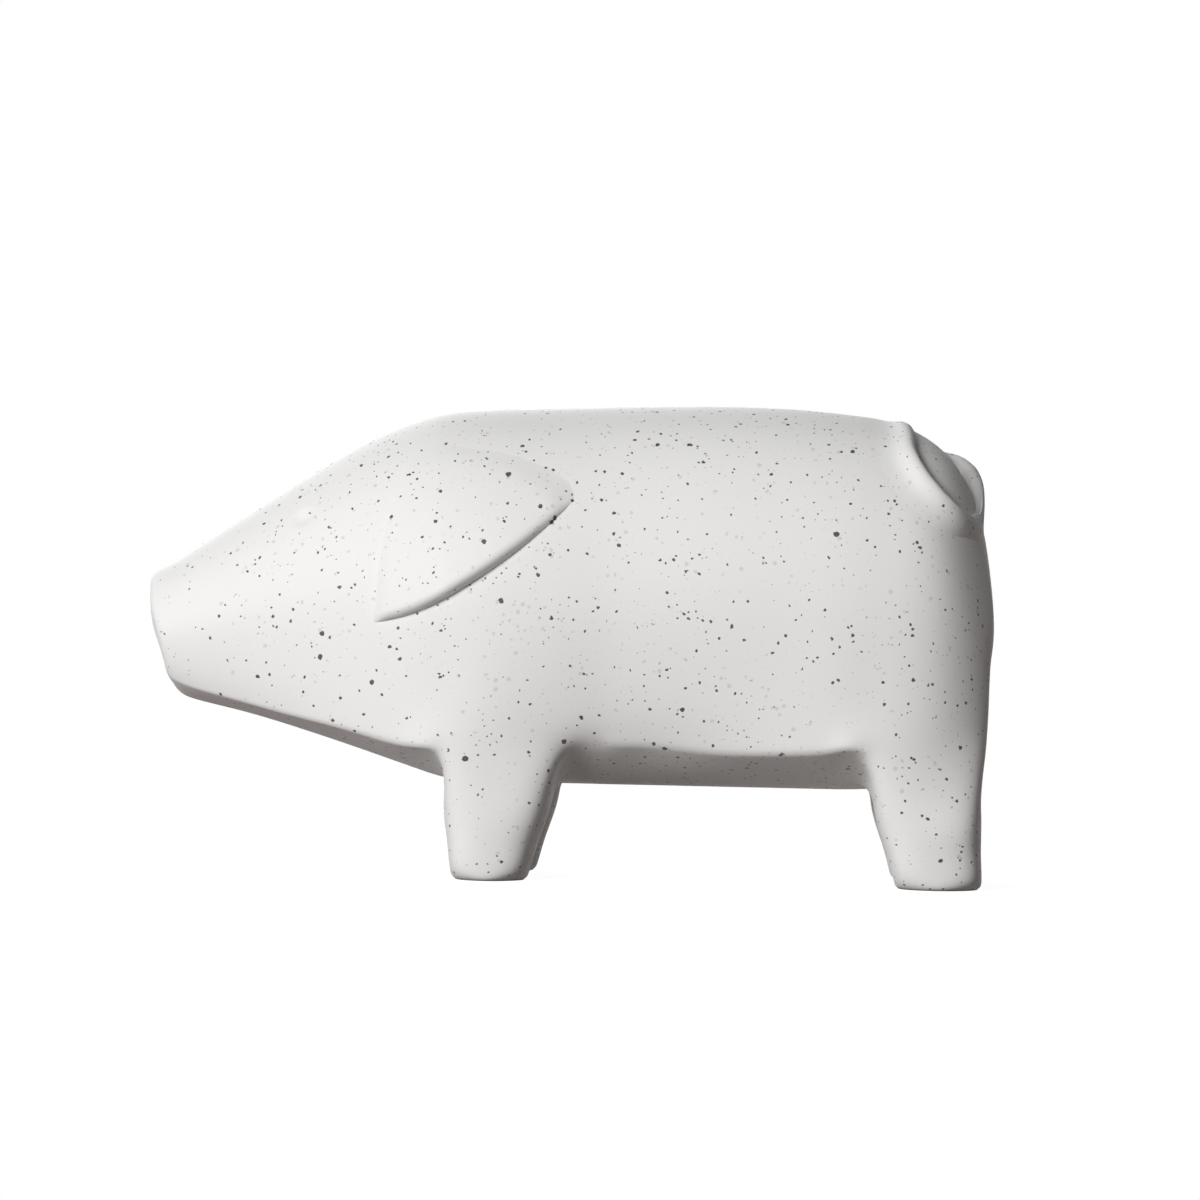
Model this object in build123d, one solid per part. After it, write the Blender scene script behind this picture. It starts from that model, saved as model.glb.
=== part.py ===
from build123d import *
import math
import os

# Pig figurine in slip-cast stoneware: a hollow trunk with four legs, two lop ears and a curled tail
# luted on. X runs from the snout to the rump, Y to the pig's right, Z up, and the soles are at Z = 0.

# Overall sizes
BODY_LENGTH = 250.0
BODY_WIDTH = 88.0
BACK_HEIGHT = 140.0
BELLY_HEIGHT = 27.4
WALL = 5.0

# Snout, eyes and drain hole
SNOUT_EDGE_RADIUS = 4.5
NOSTRIL_DIAMETER = 6.0
NOSTRIL_DEPTH = 1.6
NOSTRIL_SPACING = 13.0
EYE_DIAMETER = 7.0
EYE_DEPTH = 0.8
DRAIN_DIAMETER = 8.0

# Legs
FRONT_FOOT_LENGTH = 22.4
HIND_FOOT_LENGTH = 24.7
FOOT_WIDTH = 25.0
FOOT_CORNER_RADIUS = 9.0
FOOT_SETBACK = 4.0
SOLE_EDGE_RADIUS = 3.0
LEG_ROOT_LENGTH = 35.0
LEG_ROOT_WIDTH = 29.0
LEG_ROOT_SETBACK = 3.4
LEG_FLARE = 2.8
LEG_TOP_LEAN = 9.0
LEG_VENT_DIAMETER = 6.0
FRONT_LEG_PLACE = 93.0
HIND_LEG_PLACE = 2.9

# Ears
EAR_LENGTH = 62.0
EAR_DROP = 58.0
EAR_STANDOFF = 4.2
EAR_TIP_RADIUS = 3.0
EAR_REAR_RADIUS = 6.0
EAR_EDGE_RADIUS = 1.2

# Tail
TAIL_WIDTH = 8.0
TAIL_RAISE = 3.6
TAIL_EDGE_RADIUS = 2.4
TAIL_CURL = 19.0

# One length by which cutters pass the faces they cut
OVERRUN = 20.0

HALF_WIDTH = BODY_WIDTH / 2
TRUNK_HEIGHT = BACK_HEIGHT - BELLY_HEIGHT

# Trunk sections from snout to rump. Each row: top point and keel point, as shares of the body length
# from the snout and of the trunk height from the belly, then half width, and the flank's lower edge as
# shares of the section's height and of its half width.
TRUNK_SHARES = [
    (0.017, 0.544, 0.052, 0.204, 0.418, 0.183, 0.826),
    (0.068, 0.623, 0.088, 0.179, 0.514, 0.112, 0.850),
    (0.120, 0.702, 0.132, 0.156, 0.600, 0.085, 0.864),
    (0.196, 0.813, 0.200, 0.114, 0.736, 0.079, 0.895),
    (0.268, 0.905, 0.268, 0.066, 0.864, 0.078, 0.942),
    (0.340, 0.961, 0.340, 0.016, 0.955, 0.083, 0.976),
    (0.440, 0.982, 0.440, 0.004, 0.995, 0.090, 0.959),
    (0.532, 0.990, 0.532, 0.004, 0.959, 0.113, 0.820),
    (0.676, 0.999, 0.676, 0.002, 0.961, 0.096, 0.851),
    (0.800, 0.990, 0.792, 0.000, 0.966, 0.106, 0.960),
    (0.888, 0.958, 0.864, 0.003, 0.945, 0.110, 0.990),
    (0.946, 0.876, 0.926, 0.009, 0.859, 0.109, 1.026),
    (0.976, 0.765, 0.968, 0.023, 0.705, 0.110, 1.058),
    (0.990, 0.680, 0.989, 0.050, 0.559, 0.113, 1.041),
    (1.000, 0.583, 1.000, 0.130, 0.341, 0.137, 0.987),
]
# A section is half an ellipse down to its widest line, a flank that rolls in to its lower edge, and a
# shallow keel. Points are shares: of the crown's size, of the way down the flank, of the lower edge.
CROWN_ANGLES = (90, 72, 54, 36, 18, 0)
WIDEST_SHARE = 0.44
SNOUT_RIM_ANGLES = (90, 50)
FLANK_SHARES = (0.62, 0.35)
EDGE_SOFT_SHARE = 0.20
BELLY_SHARES = (0.55, 0.32)

# Eye and drain places, as shares of the body length and trunk height
EYE_SHARES = (0.189, 0.681)
DRAIN_SHARE = 0.60

# Leg sections from sole to root: height as a share of the belly height, how far length and width
# have grown from the foot towards the root, and how far the outer faces lean in under the trunk
LEG_SHARES = [
    (0.00, 0.00, 0.00),
    (0.40, 0.30, 0.00),
    (0.75, 0.56, 0.00),
    (1.05, 1.00, 0.10),
    (1.35, 1.60, 0.50),
    (1.65, 2.20, 1.00),
]

# Ear outline from its front tip, as shares of the ear length and drop
EAR_TIP_SHARES = (0.277, 0.411)
EAR_FRONT_SHARES = [(0.144, 0.860), (0.065, 0.534), (0.0, 0.0)]
EAR_LOWER_SHARES = [(0.0, 0.0), (0.503, 0.210), (0.995, 0.680)]
EAR_UPPER_SHARES = [(0.995, 0.680), (0.740, 0.905), (0.485, 0.997)]

# Where the tail lies on the rump, as shares of body length, half width and trunk height, the way
# its curl faces and falls, and the curl's points as shares of its size: root, bend, low point, tip
TAIL_PLACE_SHARES = (0.940, -0.32, 0.812)
TAIL_FACING_SHARES = (0.72, -0.45, 0.53)
TAIL_FALL_SHARES = (0.60, 0.0, -0.80)
TAIL_CURL_SHARES = [(-1.04, 0.20), (-0.31, -0.70), (0.57, -0.49), (-0.19, 0.89)]


def along(share, inset=0.0):
    return (share - 0.5) * (BODY_LENGTH - 2 * inset)


def level(share):
    return BELLY_HEIGHT + share * TRUNK_HEIGHT


def between(start, end, share):
    return start + (end - start) * share


def trunk_section(row, inset=0.0, swell=0.0):
    """One closed section of the trunk, inset all round, or swollen at the sides alone."""
    top_along, top_up, keel_along, keel_up, width, edge_up, edge_width = row
    keel = Vector(along(keel_along, inset), 0, level(keel_up) + inset)
    top = Vector(along(top_along, inset), 0, level(top_up) - inset)
    rise = (top - keel).length
    half = width * HALF_WIDTH - inset + swell
    widest = Vector(half, WIDEST_SHARE * rise)
    crown_up = Vector(0, rise - widest.Y)
    crown = [Vector(half, 0).rotate(Axis.Z, a) for a in CROWN_ANGLES]
    crown = [Vector(p.X, widest.Y + crown_up.Y * p.Y / half) for p in crown]
    edge = Vector(edge_width * half, edge_up * rise)
    down, roll = FLANK_SHARES
    flank = Vector(half + roll * (edge.X - half), widest.Y + down * (edge.Y - widest.Y))
    belly = Vector(BELLY_SHARES[0] * edge.X, BELLY_SHARES[1] * edge.Y)
    corner = [between(edge, flank, EDGE_SOFT_SHARE), between(edge, belly, EDGE_SOFT_SHARE)]
    right = crown + [flank] + corner + [belly, Vector(0, 0)]
    left = [Vector(-p.X, p.Y) for p in reversed(right)]
    outline = [Spline(right, tangents=[(1, 0), (-1, 0)]), Spline(left, tangents=[(-1, 0), (1, 0)])]
    upright = (top - keel).normalized()
    plane = Plane(origin=keel, x_dir=(0, 1, 0), z_dir=Vector(0, 1, 0).cross(upright))
    return plane * make_face(outline)


def snout_row(angle):
    """The first trunk section set forward and drawn in, as a step round the rim of the snout."""
    top_along, top_up, keel_along, keel_up, width, edge_up, edge_width = TRUNK_SHARES[0]
    forward = SNOUT_EDGE_RADIUS * math.sin(math.radians(angle)) / BODY_LENGTH
    drawn_in = SNOUT_EDGE_RADIUS * (1 - math.cos(math.radians(angle)))
    top = (top_along - forward, top_up - drawn_in / TRUNK_HEIGHT)
    keel = (keel_along - forward, keel_up + drawn_in / TRUNK_HEIGHT)
    return (*top, *keel, width - drawn_in / HALF_WIDTH, edge_up, edge_width)


def trunk_solid(inset=0.0, swell=0.0):
    rows = [snout_row(angle) for angle in SNOUT_RIM_ANGLES] + TRUNK_SHARES
    return loft([trunk_section(row, inset, swell) for row in rows])


def even_trunk():
    """The trunk with its right side the mirror image of its left."""
    left = split(trunk_solid(), bisect_by=Plane.XZ, keep=Keep.TOP)
    return left + mirror(left, about=Plane.XZ)


def dimple(point, normal, diameter, depth):
    """A ball that leaves a round dimple of this diameter and depth at a point of a surface."""
    radius = (diameter**2 / 4 + depth**2) / (2 * depth)
    upright = normal.cross(Vector(0, 0, 1)).cross(normal)
    return Plane(origin=point + normal * (radius - depth), x_dir=normal, z_dir=upright) * Sphere(radius)


def side_point(solid, place, height, side):
    """The point of the solid's side at this place along and this height, and its outward normal."""
    ray = Axis((place, side * BODY_WIDTH, height), (0, -side, 0))
    return min(solid.find_intersection_points(ray), key=lambda hit: -side * hit[0].Y)


def leg_solid(front, inset=0.0):
    """The left front or hind leg, run up into the trunk, with its upright edge to the outer end."""
    foot_length = FRONT_FOOT_LENGTH if front else HIND_FOOT_LENGTH
    sections = []
    for height_share, growth, lean in LEG_SHARES:
        height = height_share * BELLY_HEIGHT
        length = foot_length + growth * (LEG_ROOT_LENGTH - foot_length)
        width = FOOT_WIDTH + growth * (LEG_ROOT_WIDTH - FOOT_WIDTH)
        setback = FOOT_SETBACK + growth * (LEG_ROOT_SETBACK - FOOT_SETBACK)
        tuck = lean * LEG_TOP_LEAN
        if front:
            middle = FRONT_LEG_PLACE - BODY_LENGTH / 2 - growth * LEG_FLARE + tuck + length / 2
        else:
            middle = BODY_LENGTH / 2 - HIND_LEG_PLACE - tuck - length / 2
        outward = setback + tuck - HALF_WIDTH + width / 2
        outline = RectangleRounded(length - 2 * inset, width - 2 * inset, FOOT_CORNER_RADIUS - inset)
        sections.append(Pos(middle, outward, height + (inset if height_share == 0 else 0)) * outline)
    return loft(sections)


def leg(front):
    blank = leg_solid(front)
    blank = fillet(blank.edges().group_by(Axis.Z)[0], SOLE_EDGE_RADIUS)
    return blank - leg_solid(front, WALL)


def ear_point(shares):
    across, up = shares
    place = along(EAR_TIP_SHARES[0]) + across * EAR_LENGTH
    return Vector(place, level(EAR_TIP_SHARES[1]) + up * EAR_DROP)


def raised_rim(pad, radius):
    """A pad cut from a swollen trunk, with its rim rounded where the outline meets the curved face."""
    crown = [face for face in pad.faces() if face.geom_type == GeomType.BSPLINE]
    rim = [edge for edge in pad.edges() if sum(edge in face.edges() for face in crown) == 1]
    return fillet(rim, radius)


def ear():
    """The left ear: a pad over the cheek that stands out more towards its lower edge."""
    edges = [ThreePointArc(*[ear_point(p) for p in arc])
             for arc in (EAR_FRONT_SHARES, EAR_LOWER_SHARES, EAR_UPPER_SHARES)]
    edges.append(Line(ear_point(EAR_UPPER_SHARES[-1]), ear_point(EAR_FRONT_SHARES[0])))
    outline = make_face(edges)
    tip = outline.vertices().sort_by_distance(ear_point(EAR_FRONT_SHARES[-1]))[0]
    outline = fillet(tip, EAR_TIP_RADIUS)
    rear = outline.vertices().sort_by_distance(ear_point(EAR_LOWER_SHARES[-1]))[0]
    outline = fillet(rear, EAR_REAR_RADIUS)
    block = extrude(Plane.XZ * outline, HALF_WIDTH + OVERRUN)
    pad = block & trunk_solid(swell=EAR_STANDOFF)
    return raised_rim(pad, EAR_EDGE_RADIUS)


def tail():
    """A coil of clay curled on the rump: it leaves the spine, bends down and turns up to its tip."""
    across, sideways, up = TAIL_PLACE_SHARES
    spot = Vector(along(across), sideways * HALF_WIDTH, level(up))
    plane = Plane(origin=spot, x_dir=TAIL_FALL_SHARES, z_dir=TAIL_FACING_SHARES)
    root, bend, low, tip = [Vector(*shares) * TAIL_CURL for shares in TAIL_CURL_SHARES]
    strand = ThreePointArc(root, bend, low)
    curl = strand + TangentArc(low, tip, tangent=strand % 1)
    strip = extrude(trace(curl, TAIL_WIDTH), OVERRUN, both=True)
    coil = (plane * strip) & trunk_solid(-TAIL_RAISE)
    return raised_rim(coil, TAIL_EDGE_RADIUS)


def leg_middle(front):
    """The middle of a left leg's foot, seen from above."""
    if front:
        place = FRONT_LEG_PLACE - BODY_LENGTH / 2 + FRONT_FOOT_LENGTH / 2
    else:
        place = BODY_LENGTH / 2 - HIND_LEG_PLACE - HIND_FOOT_LENGTH / 2
    return place, FOOT_SETBACK + FOOT_WIDTH / 2 - HALF_WIDTH


def belly_hole(place, sideways, diameter):
    return Pos(place, sideways) * extrude(Circle(diameter / 2), BELLY_HEIGHT + OVERRUN)


def trunk(outer):
    """The hollow shell with its dimples, the drain hole and a vent into each hollow leg."""
    shell = outer - trunk_solid(WALL)
    snout = trunk_section(snout_row(SNOUT_RIM_ANGLES[0])).face()
    cuts = [belly_hole(along(DRAIN_SHARE), 0, DRAIN_DIAMETER)]
    for side in (-1, 1):
        eye, outward = side_point(outer, along(EYE_SHARES[0]), level(EYE_SHARES[1]), side)
        cuts.append(dimple(eye, outward, EYE_DIAMETER, EYE_DEPTH))
        nostril = snout.center() + Vector(0, side * NOSTRIL_SPACING / 2)
        cuts.append(dimple(nostril, -snout.normal_at(), NOSTRIL_DIAMETER, NOSTRIL_DEPTH))
        for front in (True, False):
            place, sideways = leg_middle(front)
            cuts.append(belly_hole(place, side * sideways, LEG_VENT_DIAMETER))
    return shell - cuts


outer = even_trunk()
pieces = {"trunk": trunk(outer), "tail": tail() - outer}
left = {"leg_front": leg(True) - outer, "leg_hind": leg(False) - outer, "ear": ear() - outer}
for name, piece in left.items():
    pieces[f"{name}_left"] = piece
    pieces[f"{name}_right"] = mirror(piece, about=Plane.XZ)

os.makedirs("parts", exist_ok=True)
for name, piece in pieces.items():
    export_step(piece, f"parts/{name}.step")
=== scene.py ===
import math

import bpy
from mathutils import Matrix, Vector
from mathutils.bvhtree import BVHTree


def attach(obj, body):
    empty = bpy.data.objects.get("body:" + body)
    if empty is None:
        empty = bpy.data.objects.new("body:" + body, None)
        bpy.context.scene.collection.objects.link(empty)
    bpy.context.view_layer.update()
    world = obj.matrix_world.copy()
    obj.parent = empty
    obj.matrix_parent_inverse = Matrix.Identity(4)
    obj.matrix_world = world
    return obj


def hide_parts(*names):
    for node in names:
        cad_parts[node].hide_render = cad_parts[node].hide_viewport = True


bl_info = {
    "name": "Speckled Stoneware Pig",
    "version": (1, 0, 0),
    "blender": (4, 5, 0),
    "location": "View3D > Sidebar > Pig",
    "description": "Models a speckled stoneware pig over its packed solids and sets it in a plain studio",
    "category": "Object",
}

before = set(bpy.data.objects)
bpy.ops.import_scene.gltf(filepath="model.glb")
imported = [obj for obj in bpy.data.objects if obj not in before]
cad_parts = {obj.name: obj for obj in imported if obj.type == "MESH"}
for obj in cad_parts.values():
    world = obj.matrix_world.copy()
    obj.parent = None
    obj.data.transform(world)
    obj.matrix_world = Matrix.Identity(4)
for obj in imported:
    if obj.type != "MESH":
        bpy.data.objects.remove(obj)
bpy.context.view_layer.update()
MM = 0.001

# Body rings from snout to rump in millimetres: top point along and up, keel point along and up, half width,
# then height and half width of the lower edge of the flank
RINGS = [
    (-124.6, 85.3, -116.4, 53.4, 17.0, 57.0, 14.2),
    (-119.4, 90.0, -110.6, 49.9, 19.4, 54.2, 16.4),
    (-103.3, 100.7, -96.5, 46.7, 24.0, 50.5, 20.4),
    (-82.0, 114.9, -80.0, 42.2, 30.6, 46.6, 26.8),
    (-62.5, 126.9, -62.5, 36.8, 36.8, 42.8, 34.0),
    (-46.5, 133.8, -46.5, 31.6, 40.8, 39.0, 39.4),
    (-35.0, 136.6, -35.0, 28.2, 42.6, 37.5, 41.8),
    (-20.0, 137.7, -20.0, 27.4, 43.6, 37.5, 42.4),
    (-4.0, 138.3, 0.0, 27.4, 43.0, 39.2, 37.8),
    (10.0, 138.9, 12.0, 27.4, 42.2, 40.6, 34.6),
    (24.0, 139.4, 25.0, 27.4, 42.1, 40.0, 34.2),
    (44.0, 139.8, 44.0, 27.4, 42.3, 38.4, 36.0),
    (64.0, 139.5, 64.0, 27.4, 42.4, 38.6, 39.4),
    (82.0, 138.1, 76.5, 27.4, 42.4, 39.6, 41.2),
    (97.0, 135.3, 87.4, 27.6, 41.6, 39.5, 41.2),
    (111.5, 126.0, 106.5, 28.4, 37.8, 39.0, 38.8),
    (121.4, 106.0, 121.6, 31.0, 26.4, 39.5, 29.0),
]
LAST = len(RINGS) - 1

# A ring is half an ellipse from the spine down to its widest line, then a straight flank that rolls in to its
# lower edge, and a shallow keel under the belly
CROWN_ANGLES = (90, 72, 54, 36, 18, 0)
WIDEST_SHARE = 0.44
FLANK_SHARE = 0.62
FLANK_ROLL_SHARE = 0.35
BELLY = [(1.0, 1.0), (0.66, 0.45), (0.29, 0.08), (0.0, 0.0)]
KEEL_PLACE = len(CROWN_ANGLES) + len(BELLY)

# Stretches of rings whose lower edge is crisper than the rest, and how crisp
CRISP_RINGS = ((0, 6), (9, 14))
CRISPNESS = 0.6

# The block that half the body is drawn from: cells from the middle out and from belly to spine, and a distance
# that is small beside a cell
BLOCK_COLUMNS = 3
BLOCK_LEVELS = 4
CLOSE_BY = 0.1
# The halves merge within this many millimetres, and the cage is fitted to the rings in so many rounds
MERGE_REACH = 0.1
FIT_ROUNDS = 12

# Snout disc and rump: share of the half width of the inner columns, how far the rows bulge out in millimetres,
# and how much less they bulge at the last inner column
END_COLUMNS = [0.0, 0.37, 0.70]
SNOUT_BULGE = [0.7, 1.2, 1.7]
RUMP_BULGE = [1.8, 2.6, 3.6]
BULGE_FALL = 0.12

# Leg rings from root to sole in millimetres: height, front and rear edge, outer and inner edge
FRONT_LEG = [
    (22.0, -34.3, -3.5, -42.2, -12.4),
    (11.0, -33.2, -6.9, -41.4, -13.8),
    (2.6, -32.2, -9.3, -40.6, -15.0),
    (0.0, -29.6, -12.0, -38.0, -17.6),
]
HIND_LEG = [
    (22.0, 90.8, 121.8, -40.4, -12.4),
    (11.0, 94.1, 121.9, -40.0, -13.8),
    (2.6, 96.6, 122.2, -39.4, -15.0),
    (0.0, 99.2, 119.6, -36.8, -17.6),
]
# First and last body ring of a leg's root, and the column of cells' corners that runs down its middle
FRONT_LEG_RINGS = (6, 8)
HIND_LEG_RINGS = (14, 16)
LEG_MIDDLE_COLUMN = 2
# How much the corners of a leg's rings are cut, the outer rear one more, and how low the skin is pressed flat
LEG_CORNER_CUT = 2.3
LEG_REAR_CUT = 3.2
SOLE_FLAT = 0.3

# Pressed eyes and nostrils, places in millimetres, and the finer cells round them, so many radii out
EYE = (-77.8, 104.3)
NOSTRIL_SPREAD = 6.5
NOSTRIL_HEIGHT = 70.0
PRESS_REACH = 1.6
PRESS_CUTS = 2
# Where straight looks at the pig start, in metres from its middle
OUTSIDE = 0.2

# Foot of the ear's rim on the left cheek in millimetres, along and up: each edge starts at a corner
EAR_FRONT = [(-56.6, 73.4), (-56.3, 81.0), (-54.9, 97.0), (-52.7, 112.0), (-49.7, 123.0), (-46.0, 130.0)]
EAR_LOWER = [
    (-56.6, 73.4), (-45.7, 76.2), (-36.9, 80.0), (-28.7, 84.9), (-20.5, 90.5),
    (-12.9, 96.4), (-6.5, 102.0), (-1.2, 107.1), (3.4, 112.0), (5.6, 115.0),
]
EAR_REAR = [(5.6, 115.0), (3.4, 119.2), (-2.4, 123.3), (-9.6, 127.0), (-18.1, 130.0), (-25.6, 132.2)]
EAR_TOP = [(-46.0, 130.0), (-36.0, 132.2), (-25.6, 132.2)]
# Width of the rim at each edge, and how deep its foot is set into the cheek
EAR_LOWER_RIM = 3.0
EAR_FRONT_RIM = 5.0
EAR_REAR_RIM = 13.0
EAR_TOP_RIM = 10.0
EAR_SINK = 0.35
# The lift dies away upwards by one power and towards the rear tip by another, and is less at the front edge
EAR_UP_POWER = 1.6
EAR_TIP_POWER = 3
EAR_TIP_FALL = 0.97
EAR_FRONT_LIFT = 0.5
EAR_FRONT_RISE = 3
EAR_LEAST_LIFT = 0.03
# Cells of the ear's grid, whose rows crowd towards the lower rim by a power, and steps along an edge
EAR_GRID = (60, 44)
EAR_CROWDING = 1.6
EAR_EDGE_STEPS = 60

# Tail curl over the rump in millimetres, from its root at the spine to its tip: place, and the strand's height
TAIL_ROUTE = [
    (97.3, 5.0, 134.8, 0.9), (97.5, -5.0, 134.7, 1.7), (98.2, -13.5, 131.7, 2.6),
    (98.6, -20.2, 127.0, 3.2), (100.5, -24.0, 122.9, 3.4), (103.3, -26.8, 118.8, 3.4),
    (106.7, -27.8, 114.6, 3.4), (109.7, -27.0, 111.2, 3.2), (113.0, -24.4, 108.4, 2.6),
    (117.2, -18.0, 107.0, 1.3), (119.7, -10.5, 108.2, 0.9), (119.9, -4.0, 112.6, 2.6),
    (118.3, -0.5, 117.5, 4.3), (115.6, 1.0, 121.6, 4.6), (112.2, 1.5, 125.3, 3.9),
    (108.6, 1.0, 128.0, 0.9),
]
# Across the strand: place from the outer side to the inner side in millimetres and share of its height, for
# the near side, which melts into the flank, and for the far side, which melts into the hollow of the curl
TAIL_NEAR = [
    (-13.5, -0.03), (-10.5, 0.0), (-8.2, 0.035), (-6.2, 0.11), (-4.6, 0.27), (-3.2, 0.52), (-1.9, 0.82),
    (-0.6, 1.0), (0.6, 0.93), (1.5, 0.66), (2.0, 0.30), (2.3, -0.05), (2.4, -0.25),
]
TAIL_FAR = [
    (-6.5, -0.12), (-5.6, 0.08), (-4.6, 0.30), (-3.4, 0.56), (-2.2, 0.78), (-1.0, 0.94), (0.2, 1.0),
    (1.3, 0.97), (2.6, 0.84), (4.0, 0.60), (5.4, 0.34), (6.8, 0.14), (8.2, -0.02),
]
TAIL_CREST = 7
# Shares of the curl's length where the outer and the inner side change from near to far
TAIL_OUTER_TURN = (0.44, 0.58)
TAIL_INNER_TURN = (0.70, 0.90)
# The inner side is soft at the root too: so far along the curl, and so much
TAIL_ROOT_REACH = 0.16
TAIL_ROOT_SOFTNESS = 0.8
# The strand swells from its root and tapers to its tip
TAIL_ROOT_SWELL = 0.4
TAIL_ROOT_GROWTH = 6
TAIL_TIP_TAPER = 9
TAIL_LEAST_WIDTH = 0.3
# Depth of its ends in the skin and its thickness in millimetres, its rows, and the step that finds its heading
TAIL_SINK = 0.5
TAIL_THICKNESS = 2.5
TAIL_ROWS = 72
TAIL_STEP = 0.01
# From the middle of a new grid to its edge
GRID_HALF = 0.5

# Specks: cells to a metre, how many cells hold one, smallest and largest size and soft edge in millimetres,
# and how much of the glaze's colour they cover
TAN_SPECKS = {"cells": 440.0, "share": 0.75, "smallest": 0.6, "largest": 1.6, "edge": 0.25}
DUST_SPECKS = {"cells": 520.0, "share": 0.85, "smallest": 0.35, "largest": 1.05, "edge": 0.07}
DARK_SPECKS = {"cells": 210.0, "share": 0.46, "smallest": 1.0, "largest": 2.0, "edge": 0.10}
TAN_COVER = 0.42
DUST_COVER = 0.94
DARK_COVER = 0.97
# Uneven outline of the specks: its noise, and its reach in millimetres
WAVER_NOISE = {"scale": 900.0, "detail": 1.0}
WAVER_REACH = 0.45
# Where specks crowd: a noise and its gain, what is added behind the snout, and what is taken off everywhere
CROWD_NOISE = {"scale": 55.0, "detail": 2.0}
CROWD_GAIN = 1.5
CROWD_BEHIND = 0.65
CROWD_CUT = 0.45
# Tip of the snout in millimetres ahead of the origin, and how fast specks crowd behind it, to a metre
SNOUT_TIP = 125.0
SNOUT_RISE = 16.0
# Faint clouds in the glaze
CLOUD_NOISE = {"scale": 26.0, "detail": 3.0}
CLOUD_GAIN = 1.6
CLOUD_CUT = 0.3
CLOUD_SHADE = 0.975
# Bare clay round the soles: its height, the ragged edge above it in millimetres, and how sharp that edge is
BARE_HEIGHT = 0.3
RAGGED_HEIGHT = 0.5
RAGGED_NOISE = {"scale": 420.0, "detail": 2.0}
RAGGED_SHARPNESS = 2500.0
# What bare clay and clouds add to the roughness, and what dark specks take off
BARE_ROUGHNESS = 0.3
CLOUD_ROUGHNESS = 0.08
SPECK_SMOOTHNESS = 0.12
# Fine grain of the matte glaze, and pits at the dark specks
GRAIN_NOISE = {"scale": 1300.0, "detail": 2.0}
GRAIN_STRENGTH = 0.06
GRAIN_DEPTH = 0.4
SPECK_PIT = 0.5
# Sockets of a Mix node that mixes colours: share, both colours, and the result
MIX_SHARE, MIX_FIRST, MIX_SECOND, MIX_RESULT = 0, 6, 7, 2

# Studio: lights and floor in metres
KEY_PLACE = (-1.12, -1.96, 0.86)
REAR_PLACE = (-0.70, 2.20, 1.10)
LIGHT_AIM = (0, 0, 0.07)
FLOOR_SIZE = 8.0
FLOOR_ROUGHNESS = 0.9
WHITE = (1, 1, 1)
# The floor's shadows fade to plain white from this far out, at this rate
FADE_START = 0.14
FADE_RATE = 6.0

# Camera: turn about the upright, tilt and roll in degrees, aim in millimetres, lens and sensor in millimetres,
# and distance in metres
CAMERA_TURN = 2.0
CAMERA_TILT = 90.0
CAMERA_ROLL = 1.2
CAMERA_AIM = (8.75, 0.0, 81.9)
CAMERA_LENS = 150.0
CAMERA_SENSOR = 36.0
CAMERA_DISTANCE = 1.4828


class PigShape(bpy.types.PropertyGroup):
    smoothing: bpy.props.IntProperty(
        name="Smoothing", description="Subdivision steps of the body", default=3, min=1, max=4)
    ear_lift: bpy.props.FloatProperty(
        name="Ear Lift", description="How far the ear's lower edge stands off the cheek",
        default=4.2 * MM, unit="LENGTH")
    ear_thickness: bpy.props.FloatProperty(
        name="Ear Thickness", description="Depth of the ear pad, most of it set into the cheek",
        default=5.0 * MM, unit="LENGTH")
    eye_radius: bpy.props.FloatProperty(
        name="Eye Radius", description="Radius of the thumb-pressed eye", default=4.0 * MM, unit="LENGTH")
    eye_depth: bpy.props.FloatProperty(
        name="Eye Depth", description="Depth of the pressed eye", default=0.8 * MM, unit="LENGTH")
    nostril_radius: bpy.props.FloatProperty(
        name="Nostril Radius", description="Radius of a pressed nostril", default=3.4 * MM, unit="LENGTH")
    nostril_depth: bpy.props.FloatProperty(
        name="Nostril Depth", description="Depth of a pressed nostril", default=1.5 * MM, unit="LENGTH")


class PigGlaze(bpy.types.PropertyGroup):
    ground: bpy.props.FloatVectorProperty(
        name="Glaze", description="Colour of the matte white glaze", subtype="COLOR", size=3,
        default=(0.87, 0.868, 0.86))
    dark_speck: bpy.props.FloatVectorProperty(
        name="Dark Specks", description="Colour of the iron specks", subtype="COLOR", size=3,
        default=(0.035, 0.028, 0.045))
    tan_speck: bpy.props.FloatVectorProperty(
        name="Tan Specks", description="Colour of the specks that lie under the glaze", subtype="COLOR",
        size=3, default=(0.55, 0.45, 0.34))
    clay: bpy.props.FloatVectorProperty(
        name="Bare Clay", description="Colour of the unglazed rim of the soles", subtype="COLOR", size=3,
        default=(0.56, 0.48, 0.40))
    roughness: bpy.props.FloatProperty(
        name="Roughness", description="Roughness of the glaze", default=0.58, min=0.0, max=1.0)


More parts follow.
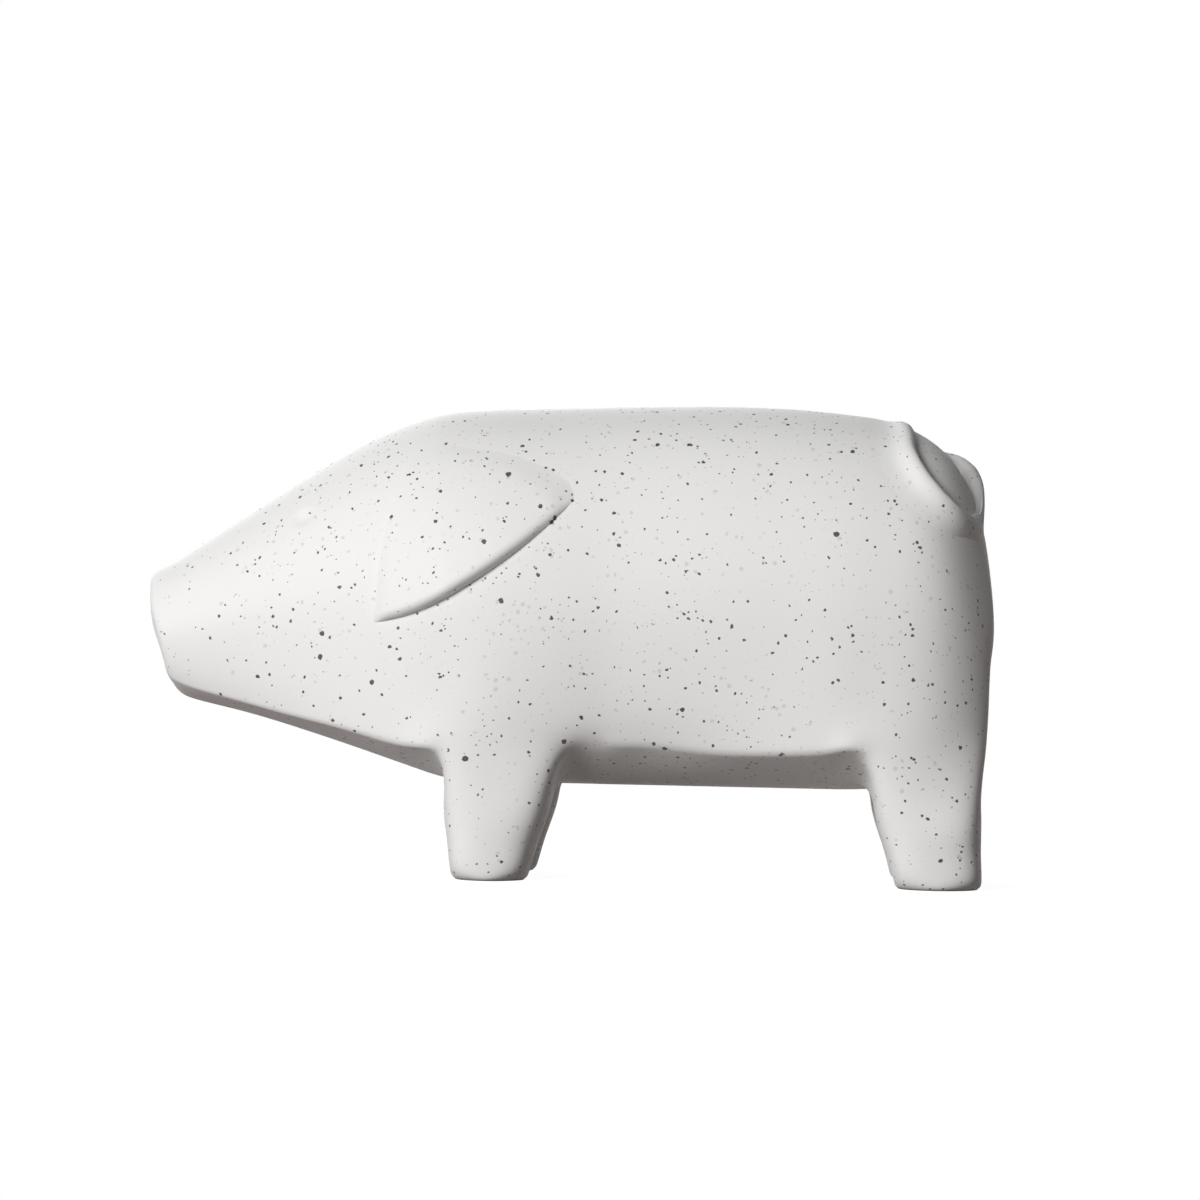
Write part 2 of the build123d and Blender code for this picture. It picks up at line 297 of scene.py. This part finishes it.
class PigStage(bpy.types.PropertyGroup):
    floor: bpy.props.FloatVectorProperty(
        name="Floor", description="Colour of the light that the floor throws back at the pig", subtype="COLOR",
        size=3, default=(0.09, 0.06, 0.05))
    shadow: bpy.props.FloatProperty(
        name="Shadow", description="How plainly the floor shows the pig's shadow",
        default=0.25, min=0.0, max=1.0)
    white: bpy.props.FloatProperty(
        name="White", description="Strength of the white that the floor shows beside its shadows",
        default=0.95)
    key_power: bpy.props.FloatProperty(
        name="Key Light", description="Power of the soft light at the front left",
        default=52.0, unit="POWER")
    key_size: bpy.props.FloatProperty(
        name="Key Size", description="Side of the soft light", default=0.85, unit="LENGTH")
    rear_power: bpy.props.FloatProperty(
        name="Rear Light", description="Power of the wide soft light behind the pig",
        default=38.0, unit="POWER")
    rear_size: bpy.props.FloatProperty(
        name="Rear Size", description="Side of the light behind the pig", default=1.6, unit="LENGTH")
    fill: bpy.props.FloatProperty(
        name="Room Light", description="Strength of the even light all round", default=0.04)


def soft_step(share):
    """A rise from nothing to one with soft ends."""
    share = min(1.0, max(0.0, share))
    return share * share * (3 - 2 * share)


def smooth_at(points, share):
    """A point of the smooth line through these points, at this share of its length."""
    points = [Vector(p) for p in points]
    steps = [(b - a).length for a, b in zip(points, points[1:])]
    left = share * sum(steps)
    index = 0
    while index < len(steps) - 1 and left > steps[index]:
        left -= steps[index]
        index += 1
    a, b = points[index], points[index + 1]
    before = points[index - 1] if index else 2 * a - b
    after = points[index + 2] if index + 2 < len(points) else 2 * b - a
    t = left / steps[index]
    return 0.5 * (
        2 * a + (b - before) * t + (2 * before - 5 * a + 4 * b - after) * t**2
        + (3 * a - before - 3 * b + after) * t**3
    )


def only(obj):
    """Makes this the one selected object, in object mode."""
    if bpy.context.object and bpy.context.object.mode != "OBJECT":
        bpy.ops.object.mode_set(mode="OBJECT")
    bpy.ops.object.select_all(action="DESELECT")
    obj.select_set(True)
    bpy.context.view_layer.objects.active = obj


def pick(obj, test, kind="FACE"):
    """Selects the faces or edges of the mesh in edit mode that pass the test."""
    bpy.ops.mesh.select_mode(type=kind)
    bpy.ops.mesh.select_all(action="DESELECT")
    bpy.ops.object.mode_set(mode="OBJECT")
    for part in obj.data.polygons if kind == "FACE" else obj.data.edges:
        part.select = test(part)
    bpy.ops.object.mode_set(mode="EDIT")


def finish_modifier(obj, kind, **settings):
    """Adds a modifier with these settings and applies it."""
    only(obj)
    modifier = obj.modifiers.new(kind.title(), kind)
    for name, value in settings.items():
        setattr(modifier, name, value)
    bpy.ops.object.modifier_apply(modifier=modifier.name)


def settle(obj, name, nodes, material):
    """Names a finished piece, gives it its glaze and puts it in the place of its CAD nodes."""
    obj.name = name
    obj.data.name = name
    obj.data.materials.clear()
    obj.data.materials.append(material)
    only(obj)
    bpy.ops.object.shade_smooth()
    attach(obj, "root")
    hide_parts(*nodes)


def surface(obj, context):
    """The surface of a finished mesh, to lay other pieces on."""
    return BVHTree.FromObject(obj, context.evaluated_depsgraph_get())


def look(skin, start, ahead):
    """The spot where a straight look meets the pig's skin, and the normal there."""
    spot, normal, index, far = skin.ray_cast(Vector(start), Vector(ahead))
    if spot is None:
        raise RuntimeError("A straight look at the pig meets no skin.")
    return spot, normal


def face_out(sheet, skin):
    """Turns the faces of a sheet that is laid on the body so that they look away from it."""
    only(sheet)
    bpy.ops.object.mode_set(mode="EDIT")
    bpy.ops.mesh.select_all(action="SELECT")
    face = sheet.data.polygons[0]
    spot, normal, index, far = skin.find_nearest(face.center)
    if face.normal.dot(normal) < 0:
        bpy.ops.mesh.flip_normals()
    bpy.ops.object.mode_set(mode="OBJECT")


def ring_place(ring, place, side):
    """A point of a body ring: places run from the spine down the flank and under the belly to the keel."""
    top_x, top_z, keel_x, keel_z, half, edge_z, edge_half = RINGS[ring]
    widest_z = keel_z + WIDEST_SHARE * (top_z - keel_z)
    if place < len(CROWN_ANGLES):
        angle = math.radians(CROWN_ANGLES[place])
        width = half * math.cos(angle)
        z = widest_z + (top_z - widest_z) * math.sin(angle)
    elif place == len(CROWN_ANGLES):
        width = half + FLANK_ROLL_SHARE * (edge_half - half)
        z = widest_z + FLANK_SHARE * (edge_z - widest_z)
    else:
        across, rise = BELLY[place - len(CROWN_ANGLES) - 1]
        width = across * edge_half
        z = keel_z + rise * (edge_z - keel_z)
    x = keel_x + (z - keel_z) / (top_z - keel_z) * (top_x - keel_x)
    return Vector((x, side * width, z))


def end_place(ring, column, row, bulge):
    """A point inside the snout disc or the rump."""
    top_x, top_z, keel_x, keel_z = RINGS[ring][:4]
    out = Vector((keel_z - top_z, 0, top_x - keel_x)).normalized()
    if ring == LAST:
        out = -out
    rim = ring_place(ring, len(CROWN_ANGLES) - row, -1)
    fall = bulge[row] * (1 - BULGE_FALL * (column / (len(END_COLUMNS) - 1)) ** 2)
    return Vector((rim.x, END_COLUMNS[column] * rim.y, rim.z)) + out * fall


def leg_place(leg, level, lengthwise, crosswise):
    """A point of a leg ring: both ways run from minus one to one, to the rear and to the inside."""
    height, front, rear, outer, inner = leg[level]
    cut = 0.0
    if lengthwise and crosswise:
        cut = LEG_REAR_CUT if lengthwise > 0 > crosswise else LEG_CORNER_CUT
    x = (front + rear) / 2 + lengthwise * ((rear - front) / 2 - cut)
    y = (outer + inner) / 2 + crosswise * ((inner - outer) / 2 - cut)
    return Vector((x, y, height))


def body_place(cell):
    """Where a corner of the cut block goes on the left half of the pig."""
    ring, across, level = (round(c) for c in cell)
    column = -across
    if level < 0:
        leg, (first, last) = FRONT_LEG, FRONT_LEG_RINGS
        if ring > last:
            leg, (first, last) = HIND_LEG, HIND_LEG_RINGS
        return leg_place(leg, -level - 1, ring - first - 1, LEG_MIDDLE_COLUMN - column)
    if level == BLOCK_LEVELS:
        return ring_place(ring, column, -1)
    if level == 0:
        return ring_place(ring, KEEL_PLACE - column, -1)
    if column == BLOCK_COLUMNS:
        return ring_place(ring, KEEL_PLACE - BLOCK_COLUMNS - level, -1)
    return end_place(ring, column, level - 1, RUMP_BULGE if ring == LAST else SNOUT_BULGE)


def cut_block():
    """Half a block cut into cells and open at the middle, with the legs drawn down out of its underside."""
    bpy.ops.object.select_all(action="DESELECT")
    bpy.ops.mesh.primitive_cube_add(size=1, location=(LAST / 2, -BLOCK_COLUMNS / 2, BLOCK_LEVELS / 2))
    block = bpy.context.object
    block.scale = (LAST, BLOCK_COLUMNS, BLOCK_LEVELS)
    bpy.ops.object.transform_apply(location=True, scale=True)
    bpy.ops.object.mode_set(mode="EDIT")
    for axis, cuts in (
        ((1, 0, 0), range(1, LAST)),
        ((0, 1, 0), range(-1, -BLOCK_COLUMNS, -1)),
        ((0, 0, 1), range(1, BLOCK_LEVELS)),
    ):
        for cut in cuts:
            bpy.ops.mesh.select_all(action="SELECT")
            bpy.ops.mesh.bisect(plane_co=Vector(axis) * cut, plane_no=axis)
    pick(block, lambda face: face.center.y > -CLOSE_BY)
    bpy.ops.mesh.delete(type="FACE")
    for first, last in (FRONT_LEG_RINGS, HIND_LEG_RINGS):
        pick(block, lambda face: face.center.z < CLOSE_BY and face.center.y < 1 - LEG_MIDDLE_COLUMN
             and first < face.center.x < last)
        for level in FRONT_LEG:
            bpy.ops.mesh.extrude_region_move(TRANSFORM_OT_translate={"value": (0, 0, -1)})
    corners = block.data.vertices
    for first, last in CRISP_RINGS:
        pick(block, lambda edge: all(
            corners[n].co.y < CLOSE_BY - BLOCK_COLUMNS and abs(corners[n].co.z) < CLOSE_BY
            and first - CLOSE_BY < corners[n].co.x < last + CLOSE_BY for n in edge.vertices), "EDGE")
        bpy.ops.transform.edge_crease(value=CRISPNESS)
    bpy.ops.object.mode_set(mode="OBJECT")
    return block


def fit_cage(cage):
    """Moves the cage until its smoothed skin runs through the places that the cage starts from."""
    aims = [v.co.copy() for v in cage.data.vertices]
    for turn in range(FIT_ROUNDS):
        skin = cage.evaluated_get(bpy.context.evaluated_depsgraph_get()).data
        seen = [v.co.copy() for v in skin.vertices[:len(aims)]]
        for vert, aim, now in zip(cage.data.vertices, aims, seen):
            vert.co += aim - now
        cage.data.update()


def press(obj, centre, inward, radius, depth):
    """Presses a soft round dimple into the mesh."""
    only(obj)
    bpy.ops.object.mode_set(mode="EDIT")
    pick(obj, lambda face: (face.center - centre).length < radius * PRESS_REACH)
    bpy.ops.mesh.subdivide(number_cuts=PRESS_CUTS, smoothness=1.0)
    bpy.ops.object.mode_set(mode="OBJECT")
    for vert in obj.data.vertices:
        reach = (vert.co - centre).length / radius
        if reach < 1:
            vert.co += inward * depth * (1 - reach**2) ** 2


class PIG_OT_body(bpy.types.Operator):
    """Body with its legs, drawn from a cut block and smoothed"""

    bl_idname = "pig.body"
    bl_label = "Body and Legs"

    def execute(self, context):
        shape = context.scene.pig_shape
        body = cut_block()
        for vert in body.data.vertices:
            vert.co = body_place(vert.co) * MM
        finish_modifier(body, "MIRROR", use_axis=(False, True, False), use_mirror_merge=True,
                        merge_threshold=MERGE_REACH * MM)
        smoothing = body.modifiers.new("Smoothing", "SUBSURF")
        smoothing.levels = shape.smoothing
        smoothing.render_levels = shape.smoothing
        fit_cage(body)
        only(body)
        bpy.ops.object.modifier_apply(modifier="Smoothing")
        bpy.ops.object.mode_set(mode="EDIT")
        bpy.ops.mesh.select_all(action="SELECT")
        bpy.ops.mesh.normals_make_consistent(inside=False)
        bpy.ops.object.mode_set(mode="OBJECT")
        for vert in body.data.vertices:
            if vert.co.z < SOLE_FLAT * MM:
                vert.co.z = 0.0
        skin = surface(body, context)
        for side in (-1, 1):
            spot, normal = look(skin, (EYE[0] * MM, side * OUTSIDE, EYE[1] * MM), (0, -side, 0))
            press(body, spot, -normal, shape.eye_radius, shape.eye_depth)
            spot, normal = look(skin, (-OUTSIDE, side * NOSTRIL_SPREAD * MM, NOSTRIL_HEIGHT * MM), (1, 0, 0))
            press(body, spot, -normal, shape.nostril_radius, shape.nostril_depth)
        settle(body, "pig_body",
               ["trunk", "leg_front_left", "leg_front_right", "leg_hind_left", "leg_hind_right"],
               speckled_glaze(context))
        return {"FINISHED"}


def ear_place(u, v):
    """A point of the ear's outline patch: u runs from the front edge to the rear, v from the lower edge up."""
    low, high = smooth_at(EAR_LOWER, u), smooth_at(EAR_TOP, u)
    front, rear = smooth_at(EAR_FRONT, v), smooth_at(EAR_REAR, v)
    corners = [Vector(p) for p in (EAR_LOWER[0], EAR_LOWER[-1], EAR_TOP[0], EAR_TOP[-1])]
    flat = (1 - v) * ((1 - u) * corners[0] + u * corners[1]) + v * ((1 - u) * corners[2] + u * corners[3])
    return (1 - v) * low + v * high + (1 - u) * front + u * rear - flat


def ear_relief(u, v, place):
    """How far the ear stands off there, as a share of its lift, and how much of that its rim has reached."""
    def distance(edge):
        return min((place - smooth_at(edge, n / EAR_EDGE_STEPS)).length for n in range(EAR_EDGE_STEPS + 1))

    def reach(edge, width):
        return soft_step(distance(edge) / width)

    rim = reach(EAR_FRONT, EAR_FRONT_RIM) * reach(EAR_REAR, EAR_REAR_RIM) * reach(EAR_TOP, EAR_TOP_RIM)
    lower = min(1.0, distance(EAR_LOWER) / EAR_LOWER_RIM)
    rim *= math.sqrt(1 - (1 - lower) ** 2)
    front = EAR_FRONT_LIFT + (1 - EAR_FRONT_LIFT) * min(1.0, EAR_FRONT_RISE * u)
    hang = (1 - v) ** EAR_UP_POWER * (1 - EAR_TIP_FALL * u**EAR_TIP_POWER) * front
    return hang + EAR_LEAST_LIFT * (1 - v), rim


class PIG_OT_ears(bpy.types.Operator):
    """Lop ears, laid on the cheeks and standing off at their lower edge"""

    bl_idname = "pig.ears"
    bl_label = "Ears"

    def execute(self, context):
        shape = context.scene.pig_shape
        skin = surface(bpy.data.objects["pig_body"], context)
        for name, side in (("left", -1), ("right", 1)):
            bpy.ops.object.select_all(action="DESELECT")
            bpy.ops.mesh.primitive_grid_add(x_subdivisions=EAR_GRID[0], y_subdivisions=EAR_GRID[1], size=1)
            ear = bpy.context.object
            for vert in ear.data.vertices:
                u, v = vert.co.x + GRID_HALF, (vert.co.y + GRID_HALF) ** EAR_CROWDING
                place = ear_place(u, v)
                spot, normal = look(skin, (place.x * MM, side * OUTSIDE, place.y * MM), (0, -side, 0))
                height, rim = ear_relief(u, v, place)
                vert.co = spot + normal * (shape.ear_lift * height * rim - EAR_SINK * MM * (1 - rim))
            face_out(ear, skin)
            finish_modifier(ear, "SOLIDIFY", thickness=shape.ear_thickness, offset=-1.0)
            settle(ear, f"pig_ear_{name}", [f"ear_{name}"], speckled_glaze(context))
        return {"FINISHED"}


def tail_section(share, column):
    """Place across the strand and share of its height, from the near side's profile and the far side's."""
    inner = column > TAIL_CREST
    start, end = TAIL_INNER_TURN if inner else TAIL_OUTER_TURN
    turned = soft_step((share - start) / (end - start))
    if inner:
        turned = max(turned, TAIL_ROOT_SOFTNESS * soft_step(1 - share / TAIL_ROOT_REACH))
    return Vector(TAIL_NEAR[column]).lerp(Vector(TAIL_FAR[column]), turned)


def tail_place(share, column, skin):
    """A point of the tail's upper side, laid on the body at this share of the curl's length."""
    across, raised = tail_section(share, column)
    here = smooth_at(TAIL_ROUTE, share)
    before = smooth_at(TAIL_ROUTE, max(share - TAIL_STEP, 0))
    after = smooth_at(TAIL_ROUTE, min(share + TAIL_STEP, 1))
    middle = sum((Vector(p).xyz for p in TAIL_ROUTE), Vector()) / len(TAIL_ROUTE) * MM
    spot, normal, index, far = skin.find_nearest(here.xyz * MM)
    sideways = normal.cross((after.xyz - before.xyz).normalized()).normalized()
    if sideways.dot(middle - spot) < 0:
        sideways = -sideways
    swell = min(1.0, TAIL_ROOT_SWELL + share * TAIL_ROOT_GROWTH)
    swell *= min(1.0, math.sqrt(max(0.0, 1 - share) * TAIL_TIP_TAPER))
    spot, normal, index, far = skin.find_nearest(spot + sideways * across * MM * max(swell, TAIL_LEAST_WIDTH))
    return spot + normal * (raised * here.w * swell - TAIL_SINK * (1 - swell)) * MM


class PIG_OT_tail(bpy.types.Operator):
    """Curled tail, a strand of clay laid on the rump"""

    bl_idname = "pig.tail"
    bl_label = "Tail"

    def execute(self, context):
        skin = surface(bpy.data.objects["pig_body"], context)
        columns = len(TAIL_NEAR) - 1
        bpy.ops.object.select_all(action="DESELECT")
        bpy.ops.mesh.primitive_grid_add(x_subdivisions=columns, y_subdivisions=TAIL_ROWS, size=1)
        tail = bpy.context.object
        for vert in tail.data.vertices:
            column = round((vert.co.x + GRID_HALF) * columns)
            vert.co = tail_place(vert.co.y + GRID_HALF, column, skin)
        face_out(tail, skin)
        finish_modifier(tail, "SOLIDIFY", thickness=TAIL_THICKNESS * MM, offset=-1.0)
        finish_modifier(tail, "SUBSURF", levels=1, render_levels=1)
        settle(tail, "pig_tail", ["tail"], speckled_glaze(context))
        return {"FINISHED"}


class Value:
    """A node's output, on which plain sums add Math nodes."""

    def __init__(self, board, socket):
        self.board = board
        self.socket = socket

    def sum(self, operation, *others):
        return self.board.add("ShaderNodeMath", {"operation": operation}, dict(enumerate((self, *others))))

    def out(self, name):
        return Value(self.board, self.socket.node.outputs[name])

    def __add__(self, other):
        return self.sum("ADD", other)

    def __mul__(self, other):
        return self.sum("MULTIPLY", other)

    def __sub__(self, other):
        return self.sum("SUBTRACT", other)

    def __rsub__(self, other):
        return self.board.add("ShaderNodeMath", {"operation": "SUBTRACT"}, {0: other, 1: self})

    def __lt__(self, other):
        return self.sum("LESS_THAN", other)

    def clamped(self):
        return self.board.add("ShaderNodeMath", {"operation": "ADD", "use_clamp": True}, {0: self, 1: 0.0})

    __radd__ = __add__


class Board:
    """The node tree of a material or of the world."""

    def __init__(self, owner, shader="Principled BSDF"):
        owner.use_nodes = True
        self.tree = owner.node_tree
        self.shader = self.tree.nodes[shader]

    def shown(self):
        return Value(self, self.shader.outputs[0])

    def add(self, kind, settings, sockets, output=0):
        node = self.tree.nodes.new(kind)
        for name, value in settings.items():
            setattr(node, name, value)
        for name, value in sockets.items():
            self.set(node, name, value)
        return Value(self, node.outputs[output])

    def set(self, node, name, value):
        if isinstance(value, Value):
            self.tree.links.new(value.socket, node.inputs[name])
        else:
            node.inputs[name].default_value = value

    def blend(self, share, first, second):
        """A colour between two colours."""
        sockets = {MIX_SHARE: share, MIX_FIRST: first, MIX_SECOND: second}
        return self.add("ShaderNodeMix", {"data_type": "RGBA"}, sockets, MIX_RESULT)

    def noise(self, place, scale, detail, output="Fac"):
        sockets = {"Vector": place, "Scale": scale, "Detail": detail}
        return self.add("ShaderNodeTexNoise", {}, sockets, output)


def colour(rgb):
    """A colour with its alpha."""
    return (*rgb, 1.0)


def specks(board, place, crowd, cells, share, smallest, largest, edge):
    """Round specks scattered through space, more of them where they crowd."""
    cell = board.add("ShaderNodeTexVoronoi", {}, {"Vector": place, "Scale": cells}, "Distance")
    chance = board.add("ShaderNodeSeparateColor", {}, {0: cell.out("Color")})
    size = chance.out("Green")
    radius = (smallest + size * size * size * (largest - smallest)) * (cells * MM / 2)
    inside = ((radius - cell) * (1 / (edge * cells * MM))).clamped()
    return inside * (chance < crowd * share)


def uneven_place(board, place):
    """The place in the object, shaken a little so that specks aren't quite round."""
    waver = board.noise(place, output="Color", **WAVER_NOISE)
    waver = board.add("ShaderNodeVectorMath", {"operation": "MULTIPLY_ADD"},
                      {0: waver, 1: (2 * WAVER_REACH * MM,) * 3, 2: (-WAVER_REACH * MM,) * 3})
    return board.add("ShaderNodeVectorMath", {"operation": "ADD"}, {0: place, 1: waver})


def speckled_glaze(context):
    """Matte white glaze with iron specks over it and tan specks under it, bare at the soles."""
    material = bpy.data.materials.get("speckled_glaze_look")
    if material:
        return material
    glaze = context.scene.pig_glaze
    material = bpy.data.materials.new("speckled_glaze_look")
    board = Board(material)
    place = board.add("ShaderNodeTexCoord", {}, {}, "Object")
    along = board.add("ShaderNodeSeparateXYZ", {}, {0: place}, "X")
    behind_snout = ((along + SNOUT_TIP * MM) * SNOUT_RISE).clamped()
    crowd = board.noise(place, **CROWD_NOISE) * CROWD_GAIN + behind_snout * CROWD_BEHIND - CROWD_CUT
    uneven = uneven_place(board, place)
    tan = specks(board, uneven, crowd, **TAN_SPECKS)
    dust = specks(board, uneven, crowd, **DUST_SPECKS)
    dark = specks(board, uneven, crowd, **DARK_SPECKS)
    cloud = board.noise(place, **CLOUD_NOISE)
    shaded = colour(tuple(c * CLOUD_SHADE for c in glaze.ground))
    skin = board.blend((cloud * CLOUD_GAIN - CLOUD_CUT).clamped(), shaded, colour(glaze.ground))
    skin = board.blend(tan * TAN_COVER, skin, colour(glaze.tan_speck))
    skin = board.blend(dust * DUST_COVER, skin, colour(glaze.dark_speck))
    skin = board.blend(dark * DARK_COVER, skin, colour(glaze.dark_speck))
    height = along.out("Z")
    ragged = board.noise(place, **RAGGED_NOISE) * (RAGGED_HEIGHT * MM)
    bare = ((BARE_HEIGHT * MM - height + ragged) * RAGGED_SHARPNESS).clamped()
    skin = board.blend(bare, skin, colour(glaze.clay))
    board.set(board.shader, "Base Color", skin)
    roughness = glaze.roughness + bare * BARE_ROUGHNESS + cloud * CLOUD_ROUGHNESS - dark * SPECK_SMOOTHNESS
    board.set(board.shader, "Roughness", roughness)
    grain = board.noise(place, **GRAIN_NOISE) - dark * SPECK_PIT
    sockets = {"Strength": GRAIN_STRENGTH, "Distance": GRAIN_DEPTH * MM, "Height": grain}
    board.set(board.shader, "Normal", board.add("ShaderNodeBump", {}, sockets, "Normal"))
    return material


def seen_directly(board):
    """One where the camera sees the surface itself or in a reflection, nothing where it only gives light."""
    path = board.add("ShaderNodeLightPath", {}, {}, "Is Camera Ray")
    return (path + path.out("Is Glossy Ray") + path.out("Is Transmission Ray")).clamped()


def studio_floor_look(stage):
    """Pale floor that shows the pig's shadow close by and plain white further out."""
    material = bpy.data.materials.new("studio_floor_look")
    board = Board(material)
    board.set(board.shader, "Base Color", colour(stage.floor))
    board.set(board.shader, "Roughness", FLOOR_ROUGHNESS)
    shadow = board.add("ShaderNodeBsdfDiffuse", {}, {"Color": colour((stage.shadow,) * 3)})
    white = board.add("ShaderNodeEmission", {}, {"Color": colour(WHITE), "Strength": stage.white})
    near = board.add("ShaderNodeAddShader", {}, {0: shadow, 1: white})
    far = board.add("ShaderNodeEmission", {}, {"Color": colour(WHITE), "Strength": 1.0})
    place = board.add("ShaderNodeTexCoord", {}, {}, "Object")
    away = board.add("ShaderNodeVectorMath", {"operation": "LENGTH"}, {0: place}, "Value")
    fade = ((away - FADE_START) * FADE_RATE).clamped()
    seen = board.add("ShaderNodeMixShader", {}, {0: fade, 1: near, 2: far})
    look_of_floor = board.add("ShaderNodeMixShader", {}, {0: seen_directly(board), 1: board.shown(), 2: seen})
    board.set(board.tree.nodes["Material Output"], "Surface", look_of_floor)
    return material


def studio_room(stage):
    """White room that gives only a little light."""
    world = bpy.data.worlds.new("studio_room")
    board = Board(world, "Background")
    board.set(board.shader, "Color", colour(WHITE))
    board.set(board.shader, "Strength", stage.fill)
    white = board.add("ShaderNodeBackground", {}, {"Color": colour(WHITE), "Strength": 1.0})
    look_of_room = board.add("ShaderNodeMixShader", {}, {0: seen_directly(board), 1: board.shown(), 2: white})
    board.set(board.tree.nodes["World Output"], "Surface", look_of_room)
    return world


def soft_light(name, place, power, size):
    """A square soft light that faces the middle of the pig."""
    bpy.ops.object.light_add(type="AREA", location=place)
    lamp = bpy.context.object
    lamp.name = name
    lamp.data.energy = power
    lamp.data.size = size
    lamp.rotation_euler = (Vector(LIGHT_AIM) - lamp.location).to_track_quat("-Z", "Y").to_euler()


def photo_camera():
    """A camera at the photograph's viewing angle."""
    turn = Matrix.Rotation(math.radians(CAMERA_TURN), 3, "Z")
    turn = turn @ Matrix.Rotation(math.radians(CAMERA_TILT), 3, "X")
    turn = turn @ Matrix.Rotation(math.radians(CAMERA_ROLL), 3, "Z")
    bpy.ops.object.camera_add()
    camera = bpy.context.object
    camera.data.lens = CAMERA_LENS
    camera.data.sensor_width = CAMERA_SENSOR
    camera.rotation_euler = turn.to_euler()
    camera.location = Vector(CAMERA_AIM) * MM + turn @ Vector((0, 0, CAMERA_DISTANCE))
    return camera


class PIG_OT_stage(bpy.types.Operator):
    """Plain pale floor, soft light and the camera"""

    bl_idname = "pig.stage"
    bl_label = "Studio"

    def execute(self, context):
        stage = context.scene.pig_stage
        scene = context.scene
        scene.view_settings.view_transform = "Standard"
        bpy.ops.object.select_all(action="DESELECT")
        bpy.ops.mesh.primitive_plane_add(size=FLOOR_SIZE, location=(0, 0, 0))
        floor = bpy.context.object
        floor.name = "studio_floor"
        floor.data.materials.append(studio_floor_look(stage))
        scene.world = studio_room(stage)
        soft_light("key_light", KEY_PLACE, stage.key_power, stage.key_size)
        soft_light("rear_light", REAR_PLACE, stage.rear_power, stage.rear_size)
        scene.camera = photo_camera()
        return {"FINISHED"}


class PIG_PT_panel(bpy.types.Panel):
    """Pieces of the pig and their settings"""

    bl_idname = "PIG_PT_panel"
    bl_label = "Stoneware Pig"
    bl_space_type = "VIEW_3D"
    bl_region_type = "UI"
    bl_category = "Pig"

    def draw(self, context):
        for settings in (context.scene.pig_shape, context.scene.pig_glaze, context.scene.pig_stage):
            box = self.layout.box()
            for name in settings.__annotations__:
                box.prop(settings, name)
        for operator in OPERATORS:
            self.layout.operator(operator.bl_idname)


OPERATORS = (PIG_OT_body, PIG_OT_ears, PIG_OT_tail, PIG_OT_stage)
GROUPS = {"pig_shape": PigShape, "pig_glaze": PigGlaze, "pig_stage": PigStage}


def register():
    for name, group in GROUPS.items():
        bpy.utils.register_class(group)
        setattr(bpy.types.Scene, name, bpy.props.PointerProperty(type=group))
    for kind in (*OPERATORS, PIG_PT_panel):
        bpy.utils.register_class(kind)


def unregister():
    for kind in reversed((*OPERATORS, PIG_PT_panel)):
        bpy.utils.unregister_class(kind)
    for name, group in GROUPS.items():
        delattr(bpy.types.Scene, name)
        bpy.utils.unregister_class(group)


def main():
    register()
    bpy.ops.pig.body()
    bpy.ops.pig.ears()
    bpy.ops.pig.tail()
    bpy.ops.pig.stage()


if __name__ == "__main__":
    main()
